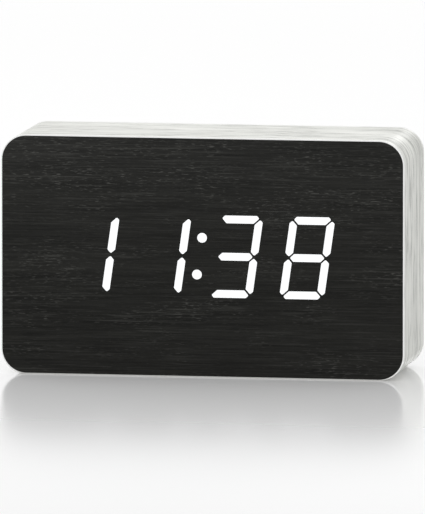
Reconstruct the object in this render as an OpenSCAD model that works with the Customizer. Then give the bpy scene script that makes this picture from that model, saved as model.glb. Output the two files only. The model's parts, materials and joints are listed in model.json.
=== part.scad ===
// A digital alarm clock in a block-shaped wooden case. +Z is up and the display faces -Y.
// The origin is on the table, under the middle of the case. All sizes are in millimetres.

/* [Case] */
// Width of the case, over its side film
case_w = 150; // [148:1:200]
// Height of the case, over its film; larger cells make it taller when they need the room
case_h = 88.6; // [88:0.2:130]
// Depth of the case, from its front face to its back face
case_d = 48; // [46:1:80]
// Radius of the four long outer edges
corner_r = 9.4; // [7:0.2:12]
// Thickness of the wood-grain film round the sides
film_t = 0.4; // [0.2:0.1:0.8]
// Thickness of the dark veneer on the front and the back
veneer_t = 0.6; // [0.3:0.1:1.2]
// Thickness of the fibreboard face board behind the front veneer
face_t = 3; // [2.5:0.5:5]
// Thickness of the fibreboard ring's walls
wall_t = 9; // [7:0.5:9]
// Radius of the ring's inside corners, which leave wood for the cover screws
cavity_r = 16; // [14:1:17]
// Width of the ledge that the back cover sits on
ledge_w = 3; // [2:0.5:4]

/* [Time shown] */
// First digit of the hour
hour_tens = 1; // [0:1:9]
// Second digit of the hour
hour_units = 1; // [0:1:9]
// First digit of the minute
minute_tens = 3; // [0:1:9]
// Second digit of the minute
minute_units = 8; // [0:1:9]

/* [Digits] */
// Height of a digit
digit_h = 30.4; // [24:0.2:38]
// Width of a digit, before it leans
digit_w = 16.7; // [13:0.1:20]
// Distance from one digit's middle to the next
digit_pitch = 26.7; // [22:0.1:27]
// Width of a segment
segment_w = 2.85; // [2:0.05:3.6]
// Gap between neighbouring segments, across the mitre
segment_gap = 0.65; // [0.3:0.05:0.8]
// How far a digit's outer corners are cut back
corner_cut = 2.4; // [1.5:0.05:2.6]
// Radius of a segment's corners
segment_r = 0.5; // [0.1:0.05:0.5]
// Lean of the digits, in degrees
lean = 8; // [0:1:12]
// Diameter of a colon dot
dot_d = 3.6; // [2.5:0.05:4.5]
// Distance from one colon dot up to the other
dot_spacing = 13.6; // [9:0.1:18]

/* [Display] */
// Display's middle, to the right of the case's middle as seen from the front
display_x = -1; // [-1.5:0.5:1.5]
// Display's middle, above the case's middle
display_rise = 0.5; // [-1:0.1:1]
// Plastic round the digits in the display's housing
housing_margin = 3.5; // [2:0.5:4]
// Depth of the display's housing
housing_d = 7.4; // [5:0.2:10]
// Height of a light-emitting diode on the display board
led_h = 0.6; // [0.4:0.1:1]
// Display board past its housing, at each end
board_ear = 8; // [7:0.5:8.5]
// Display board past its housing, above and below
board_lip = 3.2; // [2:0.2:5]
// Thickness of both circuit boards
board_t = 1.6; // [1:0.2:2]
// Outside radius of a display spacer
spacer_r = 2.4; // [2:0.1:2.6]

/* [Back cover] */
// Depth of the cover's face below the back of the case
cover_recess = 1; // [0.9:0.1:3]
// Thickness of the cover's plate
plate_t = 2.2; // [2.2:0.1:3]
// Corner radius of the cover's rebate
rebate_r = 6; // [4:0.5:8]
// Distance of the cover screws in from the ring's inside faces
screw_inset = 2; // [1:0.5:2.5]
// Radius of the round recess that takes the grip of a power plug
plug_recess_r = 4.2; // [3.6:0.1:4.6]

/* [Buttons] */
// Radius of a button cap
button_r = 3.4; // [2.5:0.1:4]
// Distance from one button to the next
button_pitch = 13; // [11:0.5:14]
// Height of a button above the cover's plate
button_proud = 0.8; // [0.7:0.1:0.8]
// Travel of a button
button_travel = 0.5; // [0.3:0.1:0.6]
// Middle of the button row, below the ring's upper inside face
row_drop = 9.4; // [8.6:0.2:9.6]

/* [Battery bay] */
// Diameter of a cell
cell_d = 10.5; // [8:0.5:12.6]
// Length of a cell with its cap
cell_l = 44.5; // [36:0.5:54]
// Room along the cells for a contact spring
spring_room = 4.7; // [4:0.1:7]
// Thickness of the bay's walls and floor
bay_wall = 1.5; // [1:0.1:2]
// Thickness of the battery door
door_t = 1.8; // [1.6:0.1:2]

/* [Hidden] */
$fn = 64;
bite = 1;          // how far a cutting shape runs past what it cuts
weld = 0.2;        // how far a piece runs into the one that it is moulded with

// Clearances
cover_gap = 0.2;   // round the cover's plate in its rebate
window_gap = 0.2;  // round the display's housing in the face board
door_gap = 0.25;   // round the battery door in its recess
rim_gap = 0.1;     // between the closed door and the bay's rim
cell_gap = 0.5;    // between cells, and between a cell and the bay's wall
floor_gap = 0.2;   // between a cell and the bay's floor
lid_gap = 0.6;     // between a cell and the door
slide_gap = 0.1;   // round a button cap in its hole and a plunger in its switch
thread_gap = 0.05; // round a screw in its pilot hole
pivot_gap = 0.05;  // round a hinge pin in its bore
pass_gap = 0.3;    // round a screw in a hole that it passes through
pilot_skin = 0.6;  // of the face board left in front of a display screw's pilot hole

// Screws: [shank radius, shank length, head radius, head height]
small_screw = [0.95, 8.2, 1.9, 1.4];
cover_screw = [1.25, 13, 2.6, 1.5];
head_sunk = 1.2;   // depth of a cover screw's head in the plate
cross_w = 0.6;     // width of a screw's cross recess
cross_l = 1.3;     // its length, in head radii
pilot_over = 0.8;  // depth of a pilot hole past its screw's tip

// The case's planes along Y
y_front = -case_d / 2;
y_back = case_d / 2;
y_face = y_front + veneer_t;
y_ring = y_face + face_t;
y_wood = y_back - veneer_t;

// The stack behind the display: the latch, the bay with its cells and the control board
cells = 4;
control_h = 15.8;
board_clear = 0.5; // least gap from the bay's wall up to the control board
latch_clear = 0.75;
latch_over = 0.3;  // from the latch up to the bay's wall
leaf_t = 0.8;
leaf_gap = 1.2;
latch_h = 2 * leaf_t + leaf_gap;
bay_h = cells * cell_d + (cells + 1) * cell_gap;
bay_lift = latch_clear + latch_h + latch_over + bay_wall;
stack_h = bay_lift + bay_h + bay_wall + board_clear + control_h / 2 + row_drop;
full_h = max(case_h, stack_h + 2 * (wall_t + film_t));

// The wooden core and its cavity, as sizes across X and Z
core_w = case_w - 2 * film_t;
core_h = full_h - 2 * film_t;
core_r = corner_r - film_t;
cavity_w = core_w - 2 * wall_t;
cavity_h = core_h - 2 * wall_t;
rebate_w = cavity_w + 2 * ledge_w;
rebate_h = cavity_h + 2 * ledge_w;
mid_z = full_h / 2;
cavity_z0 = mid_z - cavity_h / 2;
cavity_z1 = mid_z + cavity_h / 2;

// The display: a digit's own lines, then the housing and the board behind it
half_seg = segment_w / 2;
stem_x = digit_w / 2 - half_seg;
bar_z = digit_h / 2 - half_seg;
mitre = segment_gap / sqrt(2);
cut_line = stem_x + bar_z + segment_w - corner_cut;
shear = tan(lean);
display_z = mid_z + display_rise;
housing_w = 3 * digit_pitch + digit_w + shear * digit_h + 2 * housing_margin;
housing_h = digit_h + 2 * housing_margin;
housing_r = 1.5;
y_leds = y_face + housing_d;
y_display_back = y_leds + board_t;
display_board_w = housing_w + 2 * board_ear;
display_board_h = housing_h + 2 * board_lip;
spacer_x = housing_w / 2 + board_ear - spacer_r - 1;
spacer_z = display_board_h / 2 - spacer_r - 1;
led_size = [1.6, led_h, 0.8];
led_gap = 0.1;     // between a diode and its segment's light bar
led_step = 3;      // of a diode from the middle of its segment
controller_at = [display_x - 26, display_z + 2];
controller_size = [13, 7.5];
driver_at = [display_x + 24, display_z - 8];
driver_size = [18, 7.5];
crystal_at = [display_x - 26, display_z - 8];
crystal_size = [1.1, 6];

// The back cover, with the control board that hangs from it
y_cover = y_back - cover_recess;
y_ledge = y_cover - plate_t;
jack_size = 8;     // across the power jack's square body
jack_l = 10.6;
jack_set_back = 0.2;
y_jack = y_ledge - jack_set_back;
y_board = y_jack - jack_l;
y_board_front = y_board - board_t;
row_z = cavity_z1 - row_drop;
control_w = 110;
control_r = 2;
boss_x = control_w / 2 - 3.5;
boss_r = 3;
buttons_x = [button_pitch, 0, -button_pitch];
button_bore = button_r + slide_gap;
button_edge = 0.4; // bevel of a cap's outer edge
button_flange = [button_r + 1, 0.8];
mark_w = 2.6;
mark_depth = 0.3;
mark_rise = button_r + 2.7;
switch_size = [6, 3.5];
plunger_r = 1.75;
plunger_in = 0.8;
plunger_spare = 0.2; // left below a plunger when it is pressed
stem_l = 1.3;      // of a button cap below the plate's inner face
jack_x = 41;
socket_r = 1.85;
socket_l = 9.8;
jack_pin_r = 0.6;
jack_leg = [2.5, 0.5]; // distance from the jack's middle, and radius
microphone_x = 27;
microphone_size = [3, 2.7];
microphone_gap = 0.5; // behind the plate
microphone_hole_r = 0.75;
microphone_leg = [1.27, 0.3];
buzzer_x = -38;
buzzer_size = [6, 8.5];
buzzer_hole = [1.2, 3];
sensor_x = -25;
sensor_r = 1.3;
sensor_leg = [0.6, 0.25];
y_sensor = y_ledge - 3;
slot = [6, 1.2];   // width and height of a slot over the sensor
slot_pitch = 2.6;
vent_r = 0.9;
vent_pitch = 3;
capacitor_size = [3.15, 7];

// The battery bay, its door and the latch, from the ring's floor upwards
plate_metal = 0.4; // thickness of a contact plate
plate_inset = 1;   // of a contact plate from its cells' sides
spring_r = cell_d / 2 - 1.45;
spring_tip_r = spring_r - 1.6;
spring_wire_r = 0.35;
spring_gap = 0.1;  // between a spring's tip and its cell
leaf_l = 5;
latch_w = 10;
latch_gap = [0.4, 0.45]; // beside and below the latch in its notch
latch_z = cavity_z0 + latch_clear;
scoop = [1, 2.2];  // depth and height of the fingertip's scoop below the latch
bay_z0 = cavity_z0 + bay_lift;
bay_w = cell_l + spring_room + 2 * plate_metal;
bay_z1 = bay_z0 + bay_h;
y_door = y_cover - door_t;
y_rim = y_door - rim_gap;
y_cell = y_door - lid_gap - cell_d / 2;
y_floor = y_cell - cell_d / 2 - floor_gap;
flange_w = 3;      // of the shelf that joins the bay to the plate
flange_t = 1.8;
door_over = 0.5;   // of the door past the bay's walls
rib = [0.35, 0.7]; // how proud and how tall a rib of the door's grip is
rib_z0 = 2;        // of the lowest rib above the door's foot
rib_pitch = 1.6;
door_w = bay_w + 2 * (bay_wall + door_over);
door_z0 = bay_z0 - bay_wall - door_over;
door_top = bay_z1 + bay_wall + door_over;
hinge_z = door_top - door_t / 2;
hinge_y = y_door + door_t / 2;
pivot_r = 0.55;    // radius of a pin at the door's upper corner
pivot_l = 1.4;     // of a pin out of the door's side
nub = [1.9, 1];    // radius and height of a cell's cap
wire_r = 0.7;
lead_stub = 2;     // of a battery lead straight out of the bay's wall
lead_rise = 3;     // of its first bend
lead_clear = 4;    // in front of the control board
lead_solder = 2;   // of its solder joint below the board's middle
cable_w = 10.2;
cable_t = 1;
header_size = [12, 4, 5];
header_x = 20;

// Which segments each digit lights: a on top, then clockwise to f, and g across the middle
LIT = [[0, 1, 2, 3, 4, 5], [1, 2], [0, 1, 3, 4, 6], [0, 1, 2, 3, 6], [1, 2, 5, 6],
       [0, 2, 3, 5, 6], [0, 2, 3, 4, 5, 6], [0, 1, 2], [0, 1, 2, 3, 4, 5, 6], [0, 1, 2, 3, 5, 6]];
digits = [hour_tens, hour_units, minute_tens, minute_units];

// ---- Functions ----
function unit(v) = v / norm(v);

// A polygon's points with each corner rounded to radius r in n steps
function rounded_corners(p, r, n = 3) = [
    for (i = [0:len(p) - 1])
        let (b = p[i],
             u = unit(p[(i + len(p) - 1) % len(p)] - b),
             v = unit(p[(i + 1) % len(p)] - b),
             half = acos(u * v) / 2,
             o = b + unit(u + v) * r / sin(half),
             s = b + u * r / tan(half) - o,
             e = b + v * r / tan(half) - o,
             a = atan2(s.y, s.x),
             turn = (atan2(e.y, e.x) - a + 540) % 360 - 180)
        for (j = [0:n]) o + r * [cos(a + turn * j / n), sin(a + turn * j / n)]];

// A smooth path through p, with n steps from each point to the next
function smooth(p, n) = [
    for (i = [0:len(p) - 2])
        let (a = p[max(i - 1, 0)], b = p[i], c = p[i + 1], d = p[min(i + 2, len(p) - 1)])
        for (j = [0:n - 1])
            let (t = j / n)
            0.5 * (2 * b + (c - a) * t + (2 * a - 5 * b + 4 * c - d) * t * t
                   + (3 * b - a - 3 * c + d) * t * t * t),
    p[len(p) - 1]];

// The ring of n points round p, square to the direction t
function ring(p, t, ref, r, n) =
    let (a = unit(cross(t, ref)), b = cross(unit(t), a))
    [for (i = [0:n - 1]) p + r * (cos(360 * i / n) * a + sin(360 * i / n) * b)];

// The outlines of segments a, b and g, before they lean
function bar_points() =
    let (low = stem_x - half_seg - mitre, tip = stem_x - bar_z - mitre)
    [[cut_line - bar_z - half_seg, bar_z + half_seg],
     [(tip + cut_line) / 2, (cut_line - tip) / 2],
     [low, bar_z - half_seg], [-low, bar_z - half_seg],
     [-(tip + cut_line) / 2, (cut_line - tip) / 2],
     [bar_z + half_seg - cut_line, bar_z + half_seg]];
function stem_points() =
    let (tip = stem_x - bar_z + mitre)
    [[(tip + cut_line) / 2, (cut_line - tip) / 2],
     [stem_x + half_seg, cut_line - stem_x - half_seg],
     [stem_x + half_seg, half_seg + mitre],
     [stem_x, mitre],
     [stem_x - half_seg, half_seg + mitre],
     [stem_x - half_seg, stem_x - half_seg - tip]];
function middle_points() =
    let (tip = stem_x - mitre)
    [[tip, 0], [tip - half_seg, -half_seg], [half_seg - tip, -half_seg],
     [-tip, 0], [half_seg - tip, half_seg], [tip - half_seg, half_seg]];
function flipped(p, sx, sz) = [for (q = p) [q.x * sx, q.y * sz]];
function segment_points(i) =
    i == 0 ? bar_points() : i == 3 ? flipped(bar_points(), 1, -1) :
    i == 6 ? middle_points() :
    flipped(stem_points(), i < 3 ? 1 : -1, i == 1 || i == 5 ? 1 : -1);
function leaned(p) = [for (q = p) [q.x + shear * q.y, q.y]];
function segment_middle(i) =
    i == 6 ? [0, 0] : i == 0 ? [0, bar_z] : i == 3 ? [0, -bar_z] :
    [i < 3 ? stem_x : -stem_x, i == 1 || i == 5 ? bar_z / 2 : -bar_z / 2];

// ---- Shared shapes ----
// Extrudes a flat shape, drawn as X and Z, from y0 to y1
module slab(y0, y1) {
    translate([0, y1, 0]) rotate([90, 0, 0]) linear_extrude(y1 - y0) children();
}

// A rod along Y, from y0 to y1
module rod(x, z, y0, y1, r) {
    translate([x, y1, z]) rotate([90, 0, 0]) cylinder(h = y1 - y0, r = r);
}

// A box from corner a to corner b
module block(a, b) {
    translate(a) cube(b - a);
}

// A flat rectangle with round corners, about the origin
module round_rect(w, h, r) {
    square([w - 2 * r, h], center = true);
    square([w, h - 2 * r], center = true);
    for (sx = [-1, 1], sz = [-1, 1]) translate([sx * (w / 2 - r), sz * (h / 2 - r)]) circle(r);
}

// A tube of radius r along a path, closed at both ends
module sweep(path, r, ref, n = 8) {
    last = len(path) - 1;
    points = [for (i = [0:last])
        each ring(path[i], path[min(i + 1, last)] - path[max(i - 1, 0)], ref, r, n)];
    sides = [for (i = [0:last - 1], j = [0:n - 1])
        [i * n + j, i * n + (j + 1) % n, (i + 1) * n + (j + 1) % n, (i + 1) * n + j]];
    ends = [[for (j = [0:n - 1]) n - 1 - j], [for (j = [0:n - 1]) last * n + j]];
    polyhedron(points, concat(sides, ends));
}

// A pan-head screw whose head sits on the plane y and whose shank runs towards dir
module screw(x, z, y, size, dir) {
    tip = y + dir * size[1];
    top = y - dir * size[3];
    difference() {
        union() {
            rod(x, z, min(y, tip), max(y, tip), size[0]);
            rod(x, z, min(y, top), max(y, top), size[2]);
        }
        for (turn = [0, 90])
            translate([x, top, z]) rotate([0, turn, 0])
                cube([cross_l * size[2], size[3], cross_w], center = true);
    }
}

// Places its children at each of four corners, w by h apart
module four_corners(w, h) {
    for (sx = [-1, 1], sz = [-1, 1]) translate([sx * w / 2, 0, sz * h / 2]) children();
}

// The four digits' segments, those that are lit or all of them, with the colon, drawn flat
module segments(lit) {
    translate([display_x, display_z]) {
        for (n = [0:3], i = lit ? LIT[digits[n]] : [0:6])
            translate([(n - 1.5) * digit_pitch, 0])
                polygon(rounded_corners(leaned(segment_points(i)), segment_r));
        for (s = [-1, 1]) translate([shear * s * dot_spacing / 2, s * dot_spacing / 2])
            circle(dot_d / 2);
    }
}

// ---- The wooden case ----
module core_outline() {
    translate([0, mid_z]) round_rect(core_w, core_h, core_r);
}

module cavity_outline() {
    translate([0, mid_z]) round_rect(cavity_w, cavity_h, cavity_r);
}

module rebate_outline() {
    translate([0, mid_z]) round_rect(rebate_w, rebate_h, rebate_r);
}

module film_outline() {
    difference() {
        translate([0, mid_z]) round_rect(case_w, full_h, corner_r);
        core_outline();
    }
}

module film_seam_outline() {
    half = case_w / 2 - corner_r;
    translate([-half, -bite]) square([2 * half, bite + corner_r]);
}

module at_cover_screws() {
    translate([0, 0, mid_z]) four_corners(cavity_w - 2 * screw_inset, cavity_h - 2 * screw_inset)
        children();
}

module case_frame() {
    pilot = cover_screw[0] + thread_gap;
    tip = y_cover - head_sunk - cover_screw[1];
    color("burlywood") difference() {
        slab(y_ring, y_wood) core_outline();
        slab(y_ring - bite, y_wood + bite) cavity_outline();
        slab(y_ledge, y_wood + bite) rebate_outline();
        at_cover_screws() rod(0, 0, tip - pilot_over, y_ledge + bite, pilot);
    }
}

module side_film() {
    color("gainsboro") slab(y_front, y_back) difference() {
        film_outline();
        film_seam_outline();
    }
}

module base_film() {
    color("gainsboro") slab(y_front, y_back) intersection() {
        film_outline();
        film_seam_outline();
    }
}

module front_board() {
    color("tan") difference() {
        slab(y_face, y_ring) difference() {
            core_outline();
            translate([display_x, display_z])
                round_rect(housing_w + 2 * window_gap, housing_h + 2 * window_gap,
                           housing_r + window_gap);
        }
        at_spacers() rod(0, 0, y_face + pilot_skin, y_ring + bite,
                         small_screw[0] + thread_gap);
    }
}

module front_veneer() {
    color([0.14, 0.14, 0.13]) slab(y_front, y_face) difference() {
        core_outline();
        segments(true);
    }
}

module lit_windows() {
    color("white") slab(y_front, y_face) segments(true);
}

module rear_veneer() {
    color([0.14, 0.14, 0.13]) slab(y_wood, y_back) difference() {
        core_outline();
        rebate_outline();
    }
}

// ---- The display ----
module at_spacers() {
    translate([display_x, 0, display_z]) four_corners(2 * spacer_x, 2 * spacer_z) children();
}

module display_housing() {
    color("black") slab(y_face, y_leds) difference() {
        translate([display_x, display_z]) round_rect(housing_w, housing_h, housing_r);
        segments(false);
    }
}

module light_bars() {
    color("ivory") slab(y_face, y_leds - led_h - led_gap) segments(false);
}

module display_leds() {
    color("gold") translate([display_x, y_leds - led_h / 2, display_z]) {
        for (n = [0:3], i = [0:6], s = [-led_step, led_step]) {
            flat = i % 3 == 0;
            m = segment_middle(i) + (flat ? [s, 0] : [0, s]);
            translate([(n - 1.5) * digit_pitch + m.x + shear * m.y, 0, m.y])
                cube(led_size, center = true);
        }
        for (s = [-1, 1])
            translate([shear * s * dot_spacing / 2, 0, s * dot_spacing / 2])
                cube(led_size, center = true);
    }
}

module display_board() {
    color("darkgreen") difference() {
        slab(y_leds, y_display_back) translate([display_x, display_z])
            round_rect(display_board_w, display_board_h, control_r);
        at_spacers()
            rod(0, 0, y_leds - bite, y_display_back + bite, small_screw[0] + pass_gap);
    }
}

module display_spacers() {
    color("whitesmoke") at_spacers() difference() {
        rod(0, 0, y_ring, y_leds, spacer_r);
        rod(0, 0, y_ring - bite, y_leds + bite, small_screw[0] + pass_gap);
    }
}

module display_screws() {
    color("silver") at_spacers() screw(0, 0, y_display_back, small_screw, -1);
}

// A chip with gull-wing legs along its two long sides, on the back of the display board
module chip(at, size, legs) {
    body_t = 2;
    lift = 0.1;
    pitch = 1.27;
    leg = [0.45, 1, 1.2];
    reach = 0.5;
    translate([at.x, y_display_back, at.y]) {
        block([-size.x / 2, lift, -size.y / 2], [size.x / 2, body_t, size.y / 2]);
        for (i = [0:legs - 1], s = [-1, 1])
            translate([(i - (legs - 1) / 2) * pitch, leg.y / 2, s * (size.y / 2 + reach)])
                cube(leg, center = true);
    }
}

module controller_chip() {
    color("dimgray") chip(controller_at, controller_size, 9);
}

module driver_chip() {
    color("dimgray") chip(driver_at, driver_size, 13);
}

module clock_crystal() {
    color("silver") translate([crystal_at.x, y_display_back + crystal_size.x, crystal_at.y])
        rotate([0, 90, 0]) cylinder(h = crystal_size.y, r = crystal_size.x);
}

// ---- Cables between the boards ----
cable_z0 = display_z + display_board_h / 2 - header_size[2];
cable_y0 = y_display_back + header_size[1];
cable_y1 = y_board_front - header_size[1];

module cable_headers() {
    color("white") {
        translate([header_x, y_display_back + header_size[1] / 2, cable_z0])
            cube(header_size, center = true);
        translate([header_x, y_board_front - header_size[1] / 2, row_z])
            cube(header_size, center = true);
    }
}

// A flat cable that rises in a smooth step from one header to the other
module ribbon_cable() {
    steps = 24;
    rise = row_z - cable_z0;
    run = cable_y1 - cable_y0;
    side = [for (k = [-1, 1]) [for (i = [0:steps])
        let (t = i / steps, lift = rise * PI / 2 * sin(180 * t) / run, c = 1 / norm([1, lift]))
        [cable_y0 + run * t - (i % steps ? k * cable_t / 2 * lift * c : 0),
         cable_z0 + rise * (1 - cos(180 * t)) / 2 + k * cable_t / 2 * c]]];
    outline = concat(side[0], [for (i = [steps:-1:0]) side[1][i]]);
    color("lightgray") translate([header_x - cable_w / 2, 0, 0])
        rotate([90, 0, 90]) linear_extrude(cable_w) polygon(outline);
}

// The battery leads leave the bay's left wall and are soldered to the front of the board.
// A route runs out beside the bay, up past it and in front of the board to its solder joint
function lead_route(cell, out, in) =
    let (x = -bay_w / 2 - bay_wall, z = cell_z(cell), y_run = y_board_front - lead_clear)
    [[x, y_cell, z], [x - lead_stub, y_cell, z], [x - out, y_cell - 1, z + lead_rise],
     [x - out, y_floor, (z + bay_z1) / 2], [x - out, y_run, bay_z1],
     [x - out + in, y_run, row_z - lead_solder - 1],
     [x - out + in, y_board_front, row_z - lead_solder]];

module battery_lead_red() {
    color("red") sweep(smooth(lead_route(cells - 1, 4, 0), 4), wire_r, [0.3, 0.2, 1]);
}

module battery_lead_black() {
    color("black") sweep(smooth(lead_route(0, 7, -2), 4), wire_r, [0.3, 0.2, 1]);
}

// ---- The control board ----
module control_board() {
    color("darkgreen") difference() {
        slab(y_board_front, y_board) translate([0, row_z])
            round_rect(control_w, control_h, control_r);
        for (s = [-1, 1])
            rod(s * boss_x, row_z, y_board_front - bite, y_board + bite,
                small_screw[0] + pass_gap);
    }
}

module board_screws() {
    color("silver") for (s = [-1, 1]) screw(s * boss_x, row_z, y_board_front, small_screw, 1);
}

module tact_switches() {
    half = switch_size[0] / 2;
    top = y_board + switch_size[1];
    color("dimgray") for (x = buttons_x) difference() {
        block([x - half, y_board, row_z - half], [x + half, top, row_z + half]);
        rod(x, row_z, top - plunger_in - button_travel - plunger_spare, top + bite,
            plunger_r + slide_gap);
    }
}

module plunger(x) {
    color("black") rod(x, row_z, y_board + switch_size[1] - plunger_in, y_ledge - stem_l,
                       plunger_r);
}

module button(x) {
    top = y_cover + button_proud;
    color("black") {
        rod(x, row_z, y_ledge - stem_l, top - button_edge, button_r);
        translate([x, top, row_z]) rotate([90, 0, 0])
            cylinder(h = button_edge, r1 = button_r - button_edge, r2 = button_r);
        rod(x, row_z, y_ledge - slide_gap - button_flange[1], y_ledge - slide_gap,
            button_flange[0]);
    }
}

module power_jack() {
    half = jack_size / 2;
    color("black") difference() {
        block([jack_x - half, y_board, row_z - half], [jack_x + half, y_jack, row_z + half]);
        rod(jack_x, row_z, y_jack - socket_l, y_jack + bite, socket_r);
    }
}

module jack_contacts() {
    color("gold") {
        rod(jack_x, row_z, y_jack - socket_l, y_jack - 1, jack_pin_r);
        for (s = [-1, 1])
            rod(jack_x + s * jack_leg.x, row_z, y_board_front - 1, y_board_front, jack_leg[1]);
    }
}

module buzzer() {
    top = y_board + buzzer_size[1];
    color("black") difference() {
        rod(buzzer_x, row_z, y_board, top, buzzer_size[0]);
        rod(buzzer_x, row_z, top - buzzer_hole[1], top + bite, buzzer_hole[0]);
    }
}

module microphone() {
    top = y_ledge - microphone_gap;
    base = top - microphone_size[1];
    color("silver") {
        rod(microphone_x, row_z, base, top, microphone_size[0]);
        for (s = [-1, 1])
            rod(microphone_x + s * microphone_leg.x, row_z, y_board, base, microphone_leg[1]);
    }
}

module temperature_sensor() {
    color("saddlebrown") {
        translate([sensor_x, y_sensor, row_z]) sphere(sensor_r);
        for (s = [-1, 1])
            rod(sensor_x + s * sensor_leg.x, row_z, y_board, y_sensor, sensor_leg[1]);
    }
}

module capacitor() {
    color("navy") rod(0, row_z, y_board_front - capacitor_size[1], y_board_front,
                      capacitor_size[0]);
}

// ---- The back cover and its battery bay ----
function cell_z(i) = bay_z0 + cell_gap + cell_d / 2 + i * (cell_d + cell_gap);
function cap_side(i) = i % 2 ? -1 : 1;

module bay_block(grow, y0, y1) {
    block([-bay_w / 2 - grow, y0, bay_z0 - grow], [bay_w / 2 + grow, y1, bay_z1 + grow]);
}

// A rod along X on the hinge's axis, on the side s of the door, out to x
module hinge_rod(s, x, r) {
    translate([0, hinge_y, hinge_z]) rotate([0, s * 90, 0]) cylinder(h = x, r = r);
}

// The room that the door needs: its recess, the bores for its pins and the notch for its latch
module door_room() {
    half = door_w / 2 + door_gap;
    block([-half, y_rim, door_z0 - door_gap], [half, y_cover + bite, door_top + door_gap]);
    for (s = [-1, 1]) hinge_rod(s, half + pivot_l, pivot_r + pivot_gap);
    notch = latch_w / 2 + latch_gap.x;
    block([-notch, y_rim - flange_t - bite, latch_z - latch_gap.y],
          [notch, y_cover + bite, bay_z0 - bay_wall]);
    block([-notch, y_cover - scoop.x, latch_z - scoop.y], [notch, y_cover + bite, latch_z]);
}

module cover_holes() {
    for (x = buttons_x) rod(x, row_z, y_ledge - bite, y_cover + bite, button_bore);
    rod(jack_x, row_z, y_ledge - bite, y_cover + bite, plug_recess_r);
    rod(microphone_x, row_z, y_ledge - bite, y_cover + bite, microphone_hole_r);
    rod(buzzer_x, row_z, y_ledge - bite, y_cover + bite, vent_r);
    for (a = [0:60:300])
        rod(buzzer_x + vent_pitch * cos(a), row_z + vent_pitch * sin(a),
            y_ledge - bite, y_cover + bite, vent_r);
    for (i = [-1:1])
        block([sensor_x - slot.x / 2, y_ledge - bite, row_z + slot_pitch * i - slot.y / 2],
              [sensor_x + slot.x / 2, y_cover + bite, row_z + slot_pitch * i + slot.y / 2]);
    at_cover_screws() {
        rod(0, 0, y_ledge - bite, y_cover + bite, cover_screw[0] + pass_gap);
        rod(0, 0, y_cover - head_sunk, y_cover + bite, cover_screw[2] + pass_gap);
    }
}

// Marks above the buttons: a square ring, an arrow up and an arrow down
module button_marks() {
    z = row_z + mark_rise;
    arrow = [[-mark_w / 2, -mark_w / 3], [mark_w / 2, -mark_w / 3], [0, mark_w / 2]];
    slab(y_cover - mark_depth, y_cover + bite) {
        translate([buttons_x[0], z]) difference() {
            square(mark_w, center = true);
            square(mark_w / 2, center = true);
        }
        translate([buttons_x[1], z]) polygon(arrow);
        translate([buttons_x[2], z]) mirror([0, 1]) polygon(arrow);
    }
}

module rear_cover() {
    color([0.12, 0.12, 0.12]) difference() {
        union() {
            slab(y_ledge, y_cover) translate([0, mid_z])
                round_rect(rebate_w - 2 * cover_gap, rebate_h - 2 * cover_gap,
                           rebate_r - cover_gap);
            bay_block(bay_wall, y_floor - bay_wall, y_rim);
            bay_block(bay_wall + flange_w, y_rim - flange_t, y_rim);
            for (s = [-1, 1]) rod(s * boss_x, row_z, y_board, y_ledge + weld, boss_r);
        }
        bay_block(0, y_floor, y_cover + bite);
        door_room();
        cover_holes();
        button_marks();
        for (s = [-1, 1])
            rod(s * boss_x, row_z, y_board - bite, y_board + small_screw[1],
                small_screw[0] + thread_gap);
    }
}

module cover_screws() {
    color("silver") at_cover_screws() screw(0, 0, y_cover - head_sunk, cover_screw, -1);
}

// The door, with a round top edge, a pin at each upper corner and a sprung U-shaped latch at
// its foot
module battery_door() {
    half = door_w / 2;
    bend = leaf_t + leaf_gap / 2;
    y_bend = y_door - leaf_l;
    color([0.12, 0.12, 0.12]) {
        block([-half, y_door, door_z0], [half, y_cover, hinge_z]);
        for (s = [-1, 1]) {
            hinge_rod(s, half, door_t / 2);
            hinge_rod(s, half + pivot_l, pivot_r);
        }
        // the latch, a leaf in to a round bend and a leaf out again
        translate([-latch_w / 2, 0, 0]) rotate([90, 0, 90]) linear_extrude(latch_w) {
            difference() {
                translate([y_bend, latch_z + bend]) circle(bend);
                translate([y_bend, latch_z + bend]) circle(leaf_gap / 2);
                translate([y_bend, latch_z - bite]) square([2 * bend, 2 * bend + 2 * bite]);
            }
            translate([y_bend, latch_z]) square([leaf_l + door_t, leaf_t]);
            translate([y_bend, latch_z + leaf_t + leaf_gap]) square([leaf_l + door_t, leaf_t]);
        }
        // ribs that a fingertip grips
        for (i = [0:2])
            translate([-latch_w / 2, y_cover - weld, door_z0 + rib_z0 + rib_pitch * i])
                cube([latch_w, weld + rib.x, rib.y]);
    }
}

module battery_cells() {
    color("steelblue") for (i = [0:cells - 1])
        translate([cap_side(i) * (bay_w / 2 - plate_metal), y_cell, cell_z(i)])
            rotate([0, -90 * cap_side(i), 0]) {
                cylinder(h = nub[1] + bite, r = nub[0]);
                translate([0, 0, nub[1]]) cylinder(h = cell_l - nub[1], r = cell_d / 2);
            }
}

// Contact plates in the bay's ends: single ones for the first and last cells on the left,
// and one for each pair of neighbours that is joined
module contact_plates() {
    deep = cell_d - 2 * plate_inset;
    y0 = y_cell - deep / 2;
    left = -bay_w / 2;
    color("silver") {
        for (i = [0, cells - 1])
            block([left, y0, cell_z(i) - deep / 2],
                  [left + plate_metal, y0 + deep, cell_z(i) + deep / 2]);
        for (i = [1:2:cells - 3])
            block([left, y0, cell_z(i) - deep / 2],
                  [left + plate_metal, y0 + deep, cell_z(i + 1) + deep / 2]);
        for (i = [0:2:cells - 2])
            block([-left - plate_metal, y0, cell_z(i) - deep / 2],
                  [-left, y0 + deep, cell_z(i + 1) + deep / 2]);
    }
}

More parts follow.
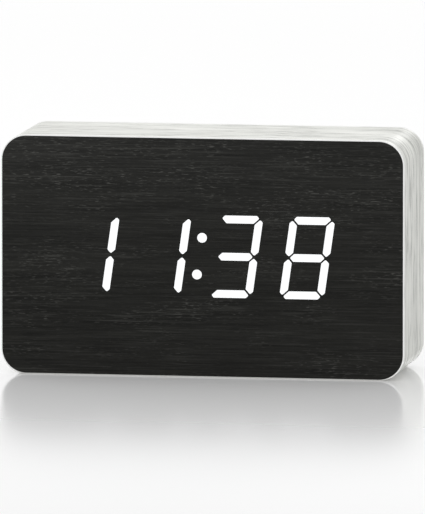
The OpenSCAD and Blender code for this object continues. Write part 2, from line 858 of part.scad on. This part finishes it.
// A tapering coil that presses on the flat end of each cell
module contact_springs() {
    turns = 3.5;
    steps = 14;
    coil_l = spring_room - 2 * spring_wire_r - spring_gap;
    color("silver") for (i = [0:cells - 1])
        translate([-cap_side(i) * (bay_w / 2 - plate_metal - spring_wire_r), y_cell, cell_z(i)])
            sweep([for (k = [0:turns * steps])
                       let (t = k / (turns * steps), a = 360 * k / steps,
                            r = spring_r + t * (spring_tip_r - spring_r))
                       [cap_side(i) * coil_l * t, r * cos(a), r * sin(a)]],
                  spring_wire_r, [1, 0, 0], 6);
}

// ---- The clock ----
case_frame();
side_film();
base_film();
front_board();
front_veneer();
lit_windows();
rear_veneer();
display_housing();
light_bars();
display_leds();
display_board();
display_spacers();
display_screws();
controller_chip();
driver_chip();
clock_crystal();
cable_headers();
ribbon_cable();
control_board();
board_screws();
tact_switches();
power_jack();
jack_contacts();
buzzer();
microphone();
temperature_sensor();
capacitor();
rear_cover();
cover_screws();
battery_door();
battery_cells();
contact_plates();
contact_springs();
battery_lead_red();
battery_lead_black();
button(buttons_x[0]);  // set_button
button(buttons_x[1]);  // up_button
button(buttons_x[2]);  // down_button
plunger(buttons_x[0]);  // set_plunger
plunger(buttons_x[1]);  // up_plunger
plunger(buttons_x[2]);  // down_plunger
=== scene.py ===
"""The looks of a block-shaped wooden alarm clock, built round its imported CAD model.

Everything is in metres in the clock's own frame: +Z is up and the display faces -Y.
"""
import json
import math

import bmesh
import bpy
from mathutils import Matrix, Vector

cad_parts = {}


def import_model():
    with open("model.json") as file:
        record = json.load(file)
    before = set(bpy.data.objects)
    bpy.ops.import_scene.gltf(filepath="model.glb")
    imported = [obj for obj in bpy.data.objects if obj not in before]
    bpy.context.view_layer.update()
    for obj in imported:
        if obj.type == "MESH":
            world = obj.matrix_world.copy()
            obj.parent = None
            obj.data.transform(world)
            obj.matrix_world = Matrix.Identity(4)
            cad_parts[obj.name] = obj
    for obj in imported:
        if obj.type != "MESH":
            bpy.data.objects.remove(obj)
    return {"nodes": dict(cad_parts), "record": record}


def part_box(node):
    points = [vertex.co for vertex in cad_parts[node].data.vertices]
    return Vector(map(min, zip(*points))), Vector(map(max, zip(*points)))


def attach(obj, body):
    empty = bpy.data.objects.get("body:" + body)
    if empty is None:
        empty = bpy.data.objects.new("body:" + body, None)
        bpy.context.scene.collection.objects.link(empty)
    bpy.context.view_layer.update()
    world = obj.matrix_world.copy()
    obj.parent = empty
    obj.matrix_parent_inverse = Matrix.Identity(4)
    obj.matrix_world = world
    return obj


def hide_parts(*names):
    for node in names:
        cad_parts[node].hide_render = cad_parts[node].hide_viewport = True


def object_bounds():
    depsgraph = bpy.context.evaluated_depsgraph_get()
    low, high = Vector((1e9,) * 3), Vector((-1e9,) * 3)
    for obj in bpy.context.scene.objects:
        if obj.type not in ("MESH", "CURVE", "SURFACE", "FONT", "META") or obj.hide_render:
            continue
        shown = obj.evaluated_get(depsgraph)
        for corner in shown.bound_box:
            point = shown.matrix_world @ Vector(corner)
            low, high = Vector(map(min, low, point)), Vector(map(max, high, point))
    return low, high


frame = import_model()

MM = 0.001
nodes = frame["nodes"]
cad_low, cad_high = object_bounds()


# ---- Node trees ----
class Tree:
    """A short way to write a shader. node() adds a node, and the calls after put() add what
    they are named for and return its output."""

    def __init__(self, tree):
        self.tree = tree

    def node(self, kind, *inputs, **settings):
        made = self.tree.nodes.new(kind)
        for key, value in settings.items():
            setattr(made, key, value)
        for slot, value in enumerate(inputs):
            self.put(made.inputs[slot], value)
        return made

    def put(self, socket, value):
        if isinstance(value, bpy.types.NodeSocket):
            self.tree.links.new(value, socket)
        elif value is not None:
            socket.default_value = value

    def math(self, operation, a, b=None):
        made = self.node("ShaderNodeMath", a, operation=operation)
        if b is not None:
            self.put(made.inputs[1], b)
        return made.outputs[0]

    def position(self):
        """X, Y and Z of the point on the surface, in the clock's frame."""
        point = self.node("ShaderNodeTexCoord").outputs["Object"]
        return self.node("ShaderNodeSeparateXYZ", point).outputs

    def scaled(self, size, place=(0, 0, 0)):
        """The point on the surface in the clock's frame, stretched by size per metre."""
        point = self.node("ShaderNodeTexCoord").outputs["Object"]
        made = self.node("ShaderNodeMapping", point)
        made.inputs["Scale"].default_value = size
        made.inputs["Location"].default_value = place
        return made.outputs[0]

    def noise(self, size, detail=4.0, rough=0.55, place=(0, 0, 0), bend=0.0):
        made = self.node("ShaderNodeTexNoise", self.scaled(size, place))
        made.inputs["Scale"].default_value = 1.0
        made.inputs["Detail"].default_value = detail
        made.inputs["Roughness"].default_value = rough
        made.inputs["Distortion"].default_value = bend
        return made.outputs["Fac"]

    def span(self, value, low, high, to_low=0.0, to_high=1.0):
        """Maps low..high to to_low..to_high, and holds the ends."""
        made = self.node("ShaderNodeMapRange", value)
        made.clamp = True
        for slot, number in zip(range(1, 5), (low, high, to_low, to_high)):
            made.inputs[slot].default_value = number
        return made.outputs[0]

    def blend(self, factor, a, b):
        """The colour a where factor is 0, and b where it is 1."""
        made = self.node("ShaderNodeMix", data_type="RGBA")
        for name, value in (("Factor", factor), ("A", a), ("B", b)):
            slots = [s for s in made.inputs if s.name == name and s.enabled]
            self.put(slots[0], value)
        return [s for s in made.outputs if s.enabled][0]

    def bump(self, height, depth, strength, below=None):
        made = self.node("ShaderNodeBump")
        made.inputs["Strength"].default_value = strength
        made.inputs["Distance"].default_value = depth
        self.put(made.inputs["Height"], height)
        if below is not None:
            self.put(made.inputs["Normal"], below)
        return made.outputs[0]


def rgb(*values):
    """An opaque colour, in linear light."""
    return (*values, 1.0)


def new_material(name, **fixed):
    """A material with one Principled shader, whose constants sit on its own sockets.

    A key of fixed is a socket's name, with _ for each space.
    """
    made = bpy.data.materials.new(name)
    made.use_nodes = True
    tree = Tree(made.node_tree)
    shader = made.node_tree.nodes["Principled BSDF"]
    for key, value in fixed.items():
        shader.inputs[key.replace("_", " ")].default_value = value
    return made, tree, shader


# ---- Materials ----
def dark_veneer():
    """Black-stained veneer: long fine grain along X, with open pores that catch the light."""
    made, t, shader = new_material("dark_veneer", IOR=1.45, Specular_IOR_Level=0.17)
    fine = t.noise((42, 300, 1500), detail=5, rough=0.66, bend=0.15)
    band = t.noise((6, 60, 170), detail=4, place=(3, 0, 1))
    pore = t.noise((420, 300, 2700), detail=3, rough=0.5, place=(5, 2, 7))
    where = t.noise((30, 30, 130), detail=3, place=(9, 4, 2))
    hair = t.noise((50, 300, 2300), detail=2, place=(1, 8, 4))
    x, _, z = t.position()
    # painted highlight: the veneer is painted lighter towards the top, most of all on the left,
    # where the light falls, and its flecks are packed closer there
    rise = t.span(z, cad_low.z, cad_high.z)
    left = t.span(x, cad_low.x, cad_high.x, 1.0, 0.5)
    painted_top_light = t.math("MULTIPLY", t.math("POWER", rise, 2.4), left)
    wide = t.math("ADD", where, t.math("MULTIPLY", painted_top_light, 0.16))
    spots = t.math("MULTIPLY", t.span(pore, 0.57, 0.68), t.span(wide, 0.48, 0.72, 0.10, 0.85))
    hairs = t.math("MULTIPLY", t.span(hair, 0.57, 0.66), t.span(wide, 0.44, 0.70, 0.22, 0.7))
    flecks = t.math("MAXIMUM", spots, t.math("MULTIPLY", hairs, 0.55))
    tone = t.math("ADD", t.span(fine, 0.32, 0.68, 0.0, 0.65), t.span(band, 0.34, 0.66, 0.0, 0.35))
    grain = t.blend(tone, rgb(0.0036, 0.0037, 0.0031), rgb(0.0176, 0.0176, 0.0152))
    # pale is a lighter copy of the grain, the painted highlight towards the top left
    pale = t.blend(tone, rgb(0.0085, 0.0086, 0.0079), rgb(0.0275, 0.0275, 0.0253))
    stained = t.blend(painted_top_light, grain, pale)
    colour = t.blend(flecks, stained, rgb(0.078, 0.078, 0.072))
    t.put(shader.inputs["Base Color"], colour)
    t.put(shader.inputs["Roughness"], t.span(fine, 0.3, 0.7, 0.68, 0.52))
    height = t.math("SUBTRACT", fine, t.math("MULTIPLY", flecks, 0.5))
    t.put(shader.inputs["Normal"], t.bump(height, 0.05 * MM, 0.5))
    return made


def pale_film():
    """White wood-grain film. The grain runs round the case, so it varies fast only along Y."""
    # the last is how high the painted shade reaches up the pale edges at the foot
    front_wear, rear_wear, shaded_foot = 3.2 * MM, 2.2 * MM, 1.5 * MM
    made, t, shader = new_material("pale_film", Specular_IOR_Level=0.4)
    fine = t.noise((40, 2100, 40), detail=6, rough=0.7, bend=0.06)
    streak = t.noise((22, 560, 22), detail=5, rough=0.7, place=(2, 5, 1), bend=0.15)
    broad = t.noise((14, 190, 14), detail=4, rough=0.6, place=(7, 3, 5), bend=0.2)
    dash = t.noise((100, 1900, 100), detail=3, rough=0.6, place=(4, 1, 8), bend=0.15)
    cluster = t.noise((52, 340, 52), detail=3, rough=0.6, place=(6, 3, 2), bend=0.2)
    dark = t.math("MULTIPLY", t.span(dash, 0.46, 0.60), t.span(cluster, 0.46, 0.62))
    tone = t.math("ADD", t.span(streak, 0.34, 0.66, 0.0, 0.4),
                  t.span(broad, 0.36, 0.64, 0.0, 0.36))
    tone = t.math("ADD", tone, t.span(fine, 0.34, 0.66, 0.0, 0.24))
    grain = t.blend(tone, rgb(0.46, 0.465, 0.43), rgb(0.87, 0.875, 0.83))
    colour = t.blend(dark, grain, rgb(0.21, 0.215, 0.195))
    # the print is worn pale along both cut edges of the film; over the lowest 1.5 mm that pale
    # colour fades to grey, a painted shade where the film meets the table
    _, y, z = t.position()
    front = t.span(y, cad_low.y, cad_low.y + front_wear, 0.75, 0.0)
    rear = t.span(y, cad_high.y - rear_wear, cad_high.y, 0.0, 0.6)
    pale_edge_and_foot_shade = t.blend(t.span(z, cad_low.z, cad_low.z + shaded_foot),
                   rgb(0.50, 0.50, 0.48), rgb(0.96, 0.96, 0.95))
    colour = t.blend(t.math("MAXIMUM", front, rear), colour, pale_edge_and_foot_shade)
    # the cut edges of the film show the same pale colour, with the painted shade at the foot
    normal = t.node("ShaderNodeNewGeometry").outputs["Normal"]
    facing = t.math("ABSOLUTE", t.node("ShaderNodeSeparateXYZ", normal).outputs[1])
    colour = t.blend(t.span(facing, 0.7, 0.95), colour, pale_edge_and_foot_shade)
    t.put(shader.inputs["Base Color"], colour)
    t.put(shader.inputs["Roughness"], t.span(fine, 0.3, 0.7, 0.50, 0.36))
    height = t.math("SUBTRACT", t.math("MULTIPLY", fine, 0.5), dark)
    t.put(shader.inputs["Normal"], t.bump(height, 0.04 * MM, 0.45))
    return made


def lit_segment():
    """Light that shows through the veneer, with a trace of the grain in it."""
    made, t, shader = new_material("lit_segment", Roughness=0.5,
                                   Emission_Color=rgb(1.0, 1.0, 1.0), Emission_Strength=0.42)
    grain = t.noise((48, 300, 1500), detail=4)
    t.put(shader.inputs["Base Color"],
          t.blend(t.span(grain, 0.3, 0.7), rgb(0.74, 0.76, 0.78), rgb(0.84, 0.85, 0.86)))
    return made


def fibreboard():
    """Brown wood fibre pressed into a board, with a fuzzy surface."""
    made, t, shader = new_material("fibreboard")
    fibre = t.noise((900, 900, 900), detail=6, rough=0.7)
    cloud = t.noise((90, 90, 90), detail=3)
    t.put(shader.inputs["Base Color"],
          t.blend(t.span(t.math("MULTIPLY", fibre, cloud), 0.12, 0.42),
                  rgb(0.22, 0.13, 0.065), rgb(0.46, 0.31, 0.17)))
    t.put(shader.inputs["Roughness"], t.span(fibre, 0.3, 0.7, 0.95, 0.8))
    t.put(shader.inputs["Normal"], t.bump(fibre, 0.08 * MM, 0.6))
    return made


def plastic(name, dark, light, rough=0.45):
    """Moulded plastic: fine spark texture, flow clouds, handling marks and eased edges."""
    made, t, shader = new_material(name)
    grit = t.noise((2600, 2600, 2600), detail=2, rough=0.5)
    cloud = t.noise((55, 55, 55), detail=4, place=(4, 1, 8))
    rub = t.noise((160, 160, 30), detail=4, rough=0.65, place=(1, 6, 3))
    mix = t.math("ADD", t.span(cloud, 0.3, 0.7, 0.0, 0.6), t.span(grit, 0.3, 0.7, 0.0, 0.4))
    t.put(shader.inputs["Base Color"], t.blend(mix, rgb(*dark), rgb(*light)))
    worn = t.math("ADD", t.span(grit, 0.3, 0.7, 0.0, 0.1), t.span(rub, 0.35, 0.7, 0.0, 0.14))
    t.put(shader.inputs["Roughness"], t.math("SUBTRACT", rough + 0.12, worn))
    eased = t.node("ShaderNodeBevel", 0.22 * MM, samples=4).outputs[0]
    t.put(shader.inputs["Normal"], t.bump(grit, 0.03 * MM, 0.6, below=eased))
    return made


def metal(name, dark, light, rough=0.28):
    """Plated metal with fine tool marks and slightly dulled patches."""
    made, t, shader = new_material(name, Metallic=1.0)
    mark = t.noise((900, 900, 900), detail=4, rough=0.6)
    dull = t.noise((260, 260, 260), detail=3, place=(7, 2, 5))
    t.put(shader.inputs["Base Color"], t.blend(t.span(dull, 0.35, 0.65), rgb(*dark), rgb(*light)))
    blur = t.math("ADD", t.span(mark, 0.3, 0.7, 0.0, 0.12), t.span(dull, 0.3, 0.7, 0.12, 0.0))
    t.put(shader.inputs["Roughness"], t.math("ADD", blur, rough))
    t.put(shader.inputs["Normal"], t.bump(mark, 0.012 * MM, 0.5))
    return made


def circuit_board():
    """Green solder mask over copper tracks that run along the board."""
    made, t, shader = new_material("circuit_board", Coat_Weight=0.4, Coat_Roughness=0.2)
    track = t.noise((60, 60, 420), detail=0, place=(1, 2, 3))
    copper = t.span(track, 0.50, 0.52)
    weave = t.noise((2400, 2400, 2400), detail=2)
    mask = t.blend(copper, rgb(0.010, 0.075, 0.022), rgb(0.022, 0.15, 0.045))
    t.put(shader.inputs["Base Color"],
          t.blend(t.span(weave, 0.3, 0.7, 0.0, 0.25), mask, rgb(0.02, 0.06, 0.02)))
    t.put(shader.inputs["Roughness"], t.span(weave, 0.3, 0.7, 0.28, 0.42))
    t.put(shader.inputs["Normal"], t.bump(copper, 0.05 * MM, 0.7))
    return made


finishes = {
    "dark_veneer": dark_veneer(),
    "pale_film": pale_film(),
    "lit_segment": lit_segment(),
    "fibreboard": fibreboard(),
    "black_plastic": plastic("black_plastic", (0.011, 0.011, 0.012), (0.022, 0.022, 0.023)),
    "housing_plastic": plastic("housing_plastic", (0.03, 0.03, 0.03), (0.05, 0.05, 0.05)),
    "resin": plastic("resin", (0.72, 0.71, 0.66), (0.82, 0.81, 0.77), rough=0.25),
    "led_phosphor": plastic("led_phosphor", (0.7, 0.55, 0.12), (0.82, 0.68, 0.2), rough=0.3),
    "circuit_board": circuit_board(),
    "white_nylon": plastic("white_nylon", (0.68, 0.68, 0.64), (0.78, 0.78, 0.74)),
    "chip_resin": plastic("chip_resin", (0.018, 0.018, 0.02), (0.032, 0.032, 0.034)),
    "zinc_screw": metal("zinc_screw", (0.42, 0.43, 0.44), (0.58, 0.59, 0.60)),
    "nickel": metal("nickel", (0.55, 0.54, 0.50), (0.72, 0.71, 0.67), rough=0.2),
    "brass_contact": metal("brass_contact", (0.62, 0.45, 0.2), (0.78, 0.62, 0.33)),
    "cable_grey": plastic("cable_grey", (0.36, 0.36, 0.36), (0.46, 0.46, 0.46)),
    "sensor_resin": plastic("sensor_resin", (0.10, 0.035, 0.012), (0.16, 0.06, 0.02), rough=0.2),
    "capacitor_sleeve": plastic("capacitor_sleeve", (0.01, 0.015, 0.07), (0.02, 0.03, 0.12)),
    "cell_wrap": plastic("cell_wrap", (0.03, 0.09, 0.20), (0.05, 0.14, 0.28), rough=0.22),
    "red_wire": plastic("red_wire", (0.40, 0.012, 0.01), (0.52, 0.02, 0.016)),
    "black_wire": plastic("black_wire", (0.01, 0.01, 0.01), (0.02, 0.02, 0.02)),
}
slot_of = {part["node"]: part["material_slot"] for part in frame["record"]["subparts"]}
for name, piece in nodes.items():
    piece.data.materials.clear()
    piece.data.materials.append(finishes[slot_of[name]])


# ---- Pieces in mesh code ----
def smooth(mesh):
    """Shades mesh smooth, apart from edges that turn by more than 38 degrees."""
    mesh.shade_smooth()
    mesh.set_sharp_from_angle(angle=math.radians(38))


def new_piece(name, bm, finish, body, *stands_for):
    """Turns bm into a smooth-shaded piece that rides on body."""
    bmesh.ops.recalc_face_normals(bm, faces=bm.faces)
    mesh = bpy.data.meshes.new(name)
    bm.to_mesh(mesh)
    bm.free()
    smooth(mesh)
    mesh.materials.append(finishes[finish])
    piece = bpy.data.objects.new(name, mesh)
    bpy.context.scene.collection.objects.link(piece)
    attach(piece, body)
    if stands_for:
        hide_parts(*stands_for)
    return piece


def join_rings(bm, rings):
    """Skins neighbouring rings of points. A ring of one point closes an end."""
    for low, high in zip(rings, rings[1:]):
        steps = max(len(low), len(high))
        for i in range(steps):
            j = (i + 1) % steps
            corners = [low[i % len(low)], low[j % len(low)], high[j % len(high)],
                       high[i % len(high)]]
            bm.faces.new(list(dict.fromkeys(corners)))


def lathe(bm, profile, place, axis, steps=48):
    """Turns a profile of (radius, height) pairs round an axis that starts at place."""
    along = Vector(axis).normalized()
    side = along.orthogonal().normalized()
    other = along.cross(side)
    rings = []
    for radius, height in profile:
        middle = Vector(place) + along * height
        count = steps if radius > 0 else 1
        turns = [math.tau * i / count for i in range(count)]
        rings.append([bm.verts.new(middle + radius * (math.cos(a) * side + math.sin(a) * other))
                      for a in turns])
    join_rings(bm, rings)
    if profile[0] == profile[-1]:
        bmesh.ops.remove_doubles(bm, verts=rings[0] + rings[-1], dist=1e-8)


def arc(centre, radius, start, end, steps=5):
    """Points of a round corner in a profile, from one angle to another in degrees."""
    turns = [math.radians(start + (end - start) * i / steps) for i in range(steps + 1)]
    return [(centre[0] + radius * math.cos(a), centre[1] + radius * math.sin(a)) for a in turns]


def tube(bm, path, radius, sides=10):
    """A round tube along a path, with closed ends."""
    rings = []
    for i, point in enumerate(path):
        along = (path[min(i + 1, len(path) - 1)] - path[max(i - 1, 0)]).normalized()
        side = along.cross(Vector((1, 0, 0))).normalized()
        other = along.cross(side)
        rings.append([bm.verts.new(point + radius * (math.cos(a) * side + math.sin(a) * other))
                      for a in (math.tau * k / sides for k in range(sides))])
    join_rings(bm, rings)
    bm.faces.new(rings[0])
    bm.faces.new(rings[-1][::-1])


def cut(piece, bm):
    """Takes the closed shape bm away from piece for good."""
    bmesh.ops.recalc_face_normals(bm, faces=bm.faces)
    mesh = bpy.data.meshes.new("cutter")
    bm.to_mesh(mesh)
    bm.free()
    cutter = bpy.data.objects.new("cutter", mesh)
    bpy.context.scene.collection.objects.link(cutter)
    step = piece.modifiers.new("cut", "BOOLEAN")
    step.operation, step.solver, step.object = "DIFFERENCE", "EXACT", cutter
    seen = piece.evaluated_get(bpy.context.evaluated_depsgraph_get())
    piece.data = bpy.data.meshes.new_from_object(seen)
    piece.modifiers.clear()
    bpy.data.objects.remove(cutter)
    smooth(piece.data)


def soften(node, width):
    """Rounds the sharp edges of a CAD node with modifiers."""
    weld = nodes[node].modifiers.new("weld", "WELD")
    weld.merge_threshold = 0.002 * MM
    edge = nodes[node].modifiers.new("edge", "BEVEL")
    edge.width = width
    edge.segments = 2
    edge.limit_method = "ANGLE"
    edge.angle_limit = math.radians(50)
    edge.use_clamp_overlap = False
    edge.harden_normals = True


def cross_recess(bm, place, axis, reach, depth):
    """A cross that narrows as it goes in, for a screwdriver. place is on the head's top."""
    along = Vector(axis)
    arm, narrow = reach * 0.2, 0.55
    outline = [(arm, reach), (arm, arm), (reach, arm), (reach, -arm), (arm, -arm),
               (arm, -reach), (-arm, -reach), (-arm, -arm), (-reach, -arm), (-reach, arm),
               (-arm, arm), (-arm, reach)]
    side = along.orthogonal().normalized()
    other = along.cross(side)
    rings = []
    for shrink, height in ((1.0, depth), (1.0, 0.0), (narrow, -depth)):
        rings.append([bm.verts.new(Vector(place) + along * height
                                   + shrink * (u * side + v * other)) for u, v in outline])
    join_rings(bm, rings)
    bm.faces.new(rings[0])
    bm.faces.new(rings[-1][::-1])


def screw_profile(shank, head_r, head_h):
    """Half a wood screw's outline from its tip: point, thread, plain neck and domed head."""
    thread_r, pitch, neck = 1.25 * MM, 1.1 * MM, 1.5 * MM
    root_r, neck_r = 0.72 * thread_r, 0.78 * thread_r
    rim, chamfer, dome = 0.35 * MM, 0.1 * MM, 0.4 * MM
    profile = [(0.0, 0.0), (0.35 * thread_r, 0.6 * MM), (0.7 * thread_r, 1.4 * MM)]
    height = 2.0 * MM
    while height + pitch < shank - neck:
        profile += [(root_r, height), (thread_r, height + 0.45 * pitch),
                    (thread_r, height + 0.55 * pitch)]
        height += pitch
    profile += [(neck_r, height), (neck_r, shank)]
    profile += [(head_r - chamfer, shank), (head_r, shank + chamfer)]
    profile += arc((head_r - rim, shank + head_h / 2), rim, 0, 55)
    profile += [(head_r * f, shank + head_h - dome * f ** 2) for f in (0.78, 0.6, 0.4, 0.2)]
    return profile + [(0.0, shank + head_h)]


def cover_screws():
    """Four wood screws with domed heads, cross recesses and threads."""
    low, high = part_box("cover_screws")
    head_r, head_h = 2.6 * MM, 1.5 * MM
    cross_reach, cross_depth = 1.45 * MM, 0.9 * MM
    profile = screw_profile(high.y - head_h - low.y, head_r, head_h)
    bm, recess = bmesh.new(), bmesh.new()
    for x in (low.x + head_r, high.x - head_r):
        for z in (low.z + head_r, high.z - head_r):
            lathe(bm, profile, (x, low.y, z), (0, 1, 0))
            cross_recess(recess, (x, high.y, z), (0, 1, 0), cross_reach, cross_depth)
    screws = new_piece("cover_screw_set", bm, "zinc_screw", "case", "cover_screws")
    cut(screws, recess)


def button(node, body):
    """A round cap with a dished top and a flange that keeps it in its hole."""
    low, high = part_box(node)
    x, z = (low.x + high.x) / 2, (low.z + high.z) / 2
    depth = high.y - low.y
    flange_r = (high.x - low.x) / 2
    cap_r = flange_r - 1.0 * MM
    under, over, chamfer = 0.4 * MM, 1.2 * MM, 0.1 * MM       # of the flange
    rim, dish, dish_r = 0.45 * MM, 0.28 * MM, 0.84 * cap_r
    profile = [(0.0, 0.0), (cap_r, 0.0), (cap_r, under), (flange_r - chamfer, under),
               (flange_r, under + chamfer), (flange_r, over - chamfer),
               (flange_r - chamfer, over), (cap_r, over)]
    profile += arc((cap_r - rim, depth - rim), rim, 0, 90, 6)
    for r in (0.75 * cap_r, 0.6 * cap_r, 0.4 * cap_r, 0.2 * cap_r, 0.0):
        profile.append((r, depth - dish * (1 - (r / dish_r) ** 2)))
    bm = bmesh.new()
    lathe(bm, profile, (x, low.y, z), (0, 1, 0), 64)
    new_piece(node + "_cap", bm, "black_plastic", body, node)


def can_profile(radius, length, nub):
    """Half the outline of a cell's steel can, from its nub to its dished base."""
    nub_r, nub_round, seal = 1.9 * MM, 0.3 * MM, 0.12 * MM
    shoulder, heel, dish = 0.6 * MM, 0.5 * MM, 0.2 * MM
    profile = [(0.0, 0.0)] + arc((nub_r - nub_round, nub_round), nub_round, -90, 0, 3)
    profile += [(nub_r, nub), (2.3 * MM, nub + seal), (3.3 * MM, nub + seal)]
    profile += arc((radius - shoulder, nub + 0.15 * MM + shoulder), shoulder, -90, 0, 4)
    profile += arc((radius - heel, length - heel), heel, 0, 90, 4)
    return profile + [(3.2 * MM, length), (3.0 * MM, length - dish), (0.0, length - dish)]


def sleeve_profile(radius, length, nub):
    """The closed outline of a cell's sleeve, which is shrunk over both ends of the can."""
    film, clear, top, foot = 0.07 * MM, 0.15 * MM, 0.7 * MM, 0.5 * MM
    outside = arc((radius - top, nub + top), top, -75, 0, 6)
    outside += arc((radius - foot, length - foot - 0.05 * MM), foot, 0, 65, 4)
    inside = [(r - film, min(max(h, nub + clear), length - clear)) for r, h in outside[::-1]]
    return outside + inside + [outside[0]]


def spring_path(foot, reach, base_r):
    """The centre line of a spring, which narrows from its foot and reaches along X."""
    turns, steps, taper = 3.5, 28, 1.6 * MM
    path = []
    for k in range(int(turns * steps) + 1):
        done = k / (turns * steps)
        angle, r = math.tau * k / steps, base_r - taper * done
        path.append(foot + Vector((reach * done, r * math.cos(angle), r * math.sin(angle))))
    return path


def cells_and_springs():
    """Four cells that lie head to tail, each with a steel can in a sleeve, and its spring."""
    low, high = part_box("battery_cells")
    spring_low, spring_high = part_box("contact_springs")
    radius, length, nub = (high.y - low.y) / 2, 44.5 * MM, 1.0 * MM
    wire, gap = 0.35 * MM, 0.1 * MM
    base_r = (spring_high.y - spring_low.y) / 2 - wire
    pitch = (high.z - low.z - 2 * radius) / 3
    can = can_profile(radius - 0.1 * MM, length, nub)
    sleeve = sleeve_profile(radius, length, nub)
    cans, sleeves, springs = bmesh.new(), bmesh.new(), bmesh.new()
    for i in range(4):
        way = -1 if i % 2 else 1
        place = Vector((way * high.x, (low.y + high.y) / 2, low.z + radius + i * pitch))
        lathe(cans, can, place, (-way, 0, 0))
        lathe(sleeves, sleeve, place, (-way, 0, 0), 64)
        foot = Vector((way * (spring_low.x + wire), place.y, place.z))
        reach = abs(foot.x) - (length - high.x) - wire - gap
        tube(springs, spring_path(foot, way * reach, base_r), wire)
    new_piece("cell_cans", cans, "nickel", "case", "battery_cells")
    new_piece("cell_sleeves", sleeves, "cell_wrap", "case", "battery_cells")
    new_piece("cell_springs", springs, "nickel", "case", "contact_springs")


def jack_collar():
    """The metal sleeve that lines the mouth of the power socket."""
    low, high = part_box("power_jack")
    x, z = (low.x + high.x) / 2, (low.z + high.z) / 2
    inner, outer, depth = 1.86 * MM, 2.7 * MM, 6 * MM
    proud, corner, wall = 0.15 * MM, 0.12 * MM, 0.02 * MM
    profile = [(inner, -depth), (inner, proud)]
    profile += arc((outer - corner, proud - wall), corner, 90, 0, 3)
    profile += [(outer, -wall), (inner + wall, -wall), (inner + wall, -depth)]
    profile.append(profile[0])
    bm = bmesh.new()
    lathe(bm, profile, (x, high.y, z), (0, 1, 0))
    new_piece("jack_collar", bm, "nickel", "case")


cover_screws()
for key in ("set", "up", "down"):
    button(key + "_button", key + "_key")
cells_and_springs()
jack_collar()
edge_widths = {
    "battery_door": 0.18, "power_jack": 0.15, "tact_switches": 0.12, "cable_headers": 0.15,
    "controller_chip": 0.08, "driver_chip": 0.08, "buzzer": 0.2, "microphone": 0.15,
    "capacitor": 0.3, "contact_plates": 0.1, "display_screws": 0.08, "board_screws": 0.08,
}
for node, width in edge_widths.items():
    soften(node, width * MM)


# ---- Stage: floor, lights, camera ----
def floor():
    """A pale, faintly lit table that mirrors the clock at its foot and fades to white ahead."""
    front_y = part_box("front_veneer")[0].y
    mirror_share, mirror_fade, blur_end = 0.40, 0.5, 0.35      # the last two in metres ahead
    matt_grey, glow_level = 0.62, 0.24
    bpy.ops.mesh.primitive_plane_add(size=6.0)
    plane = bpy.context.object
    plane.name = "floor"
    made = bpy.data.materials.new("floor")
    made.use_nodes = True
    made.node_tree.nodes.clear()
    t = Tree(made.node_tree)
    _, y, _ = t.position()
    ahead = t.math("MAXIMUM", t.math("SUBTRACT", front_y, y), 0.0)
    far = t.math("POWER", t.math("DIVIDE", ahead, mirror_fade), 1.6)
    fall = t.math("EXPONENT", t.math("MULTIPLY", far, -1.0))
    mirror = t.math("MULTIPLY", fall, mirror_share)
    matt = t.node("ShaderNodeBsdfDiffuse", rgb(matt_grey, matt_grey, matt_grey)).outputs[0]
    glow = t.node("ShaderNodeEmission", rgb(1, 1, 1), glow_level).outputs[0]
    plain = t.node("ShaderNodeAddShader", matt, glow).outputs[0]
    blur = t.span(ahead, 0.0, blur_end, 0.04, 0.65)
    gloss = t.node("ShaderNodeBsdfGlossy", rgb(1, 1, 1), blur).outputs[0]
    both = t.node("ShaderNodeMixShader", mirror, plain, gloss).outputs[0]
    t.node("ShaderNodeOutputMaterial", both)
    plane.data.materials.append(made)


def world():
    """Soft white studio all round, brightest behind the clock and to its left."""
    made = bpy.data.worlds.new("studio")
    bpy.context.scene.world = made
    made.use_nodes = True
    t = Tree(made.node_tree)
    way = t.node("ShaderNodeTexCoord").outputs["Generated"]
    split = t.node("ShaderNodeSeparateXYZ", way)
    behind = t.span(split.outputs[1], -0.2, 0.6, 0.98, 1.22)
    right = t.span(split.outputs[0], -0.5, 1.0, 0.05, -0.42)
    level = t.math("ADD", behind, right)
    made.node_tree.nodes["Background"].inputs[0].default_value = rgb(1.0, 1.0, 1.0)
    t.put(made.node_tree.nodes["Background"].inputs[1], level)


def softbox(name, place, aim, size, watts):
    """A rectangular area light at place that faces the point aim."""
    lamp = bpy.data.lights.new(name, "AREA")
    lamp.shape = "RECTANGLE"
    lamp.size, lamp.size_y = size
    lamp.energy = watts
    made = bpy.data.objects.new(name, lamp)
    bpy.context.scene.collection.objects.link(made)
    made.location = place
    made.rotation_euler = (Vector(aim) - Vector(place)).to_track_quat("-Z", "Y").to_euler()


def camera(azimuth, elevation, distance, height, look_at):
    """A long lens that looks at the point look_at, where the view is height tall."""
    sensor = 36.0
    a, e = math.radians(azimuth), math.radians(elevation)
    right = Vector((math.cos(a), math.sin(a), 0))
    back = Vector((math.sin(a) * math.cos(e), -math.cos(a) * math.cos(e), math.sin(e)))
    up = back.cross(right)
    lens = bpy.data.cameras.new("camera")
    lens.sensor_width = sensor
    lens.lens = sensor * distance / height
    lens.clip_start, lens.clip_end = 0.5, 40.0
    made = bpy.data.objects.new("camera", lens)
    bpy.context.scene.collection.objects.link(made)
    place = Vector(look_at) + back * distance
    made.matrix_world = Matrix.Translation(place) @ Matrix((right, up, back)).transposed().to_4x4()
    bpy.context.scene.camera = made


floor()
world()
softbox("top_light", (0.1, 0.1, 1.2), (0, 0, 0), (1.4, 1.0), 2.15)
softbox("side_fill", (0.55, -0.25, 0.25), (0.08, -0.02, 0.02), (0.5, 0.3), 0.1)
softbox("bend_light", (0.1, 2.4, 0.55), (0.05, 0, 0.05), (0.3, 0.2), 1.5)
camera(azimuth=9.52, elevation=6.53, distance=6.0, height=0.18944,
       look_at=(-0.00014, -0.00028, 0.04183))
bpy.context.scene.view_settings.view_transform = "Standard"
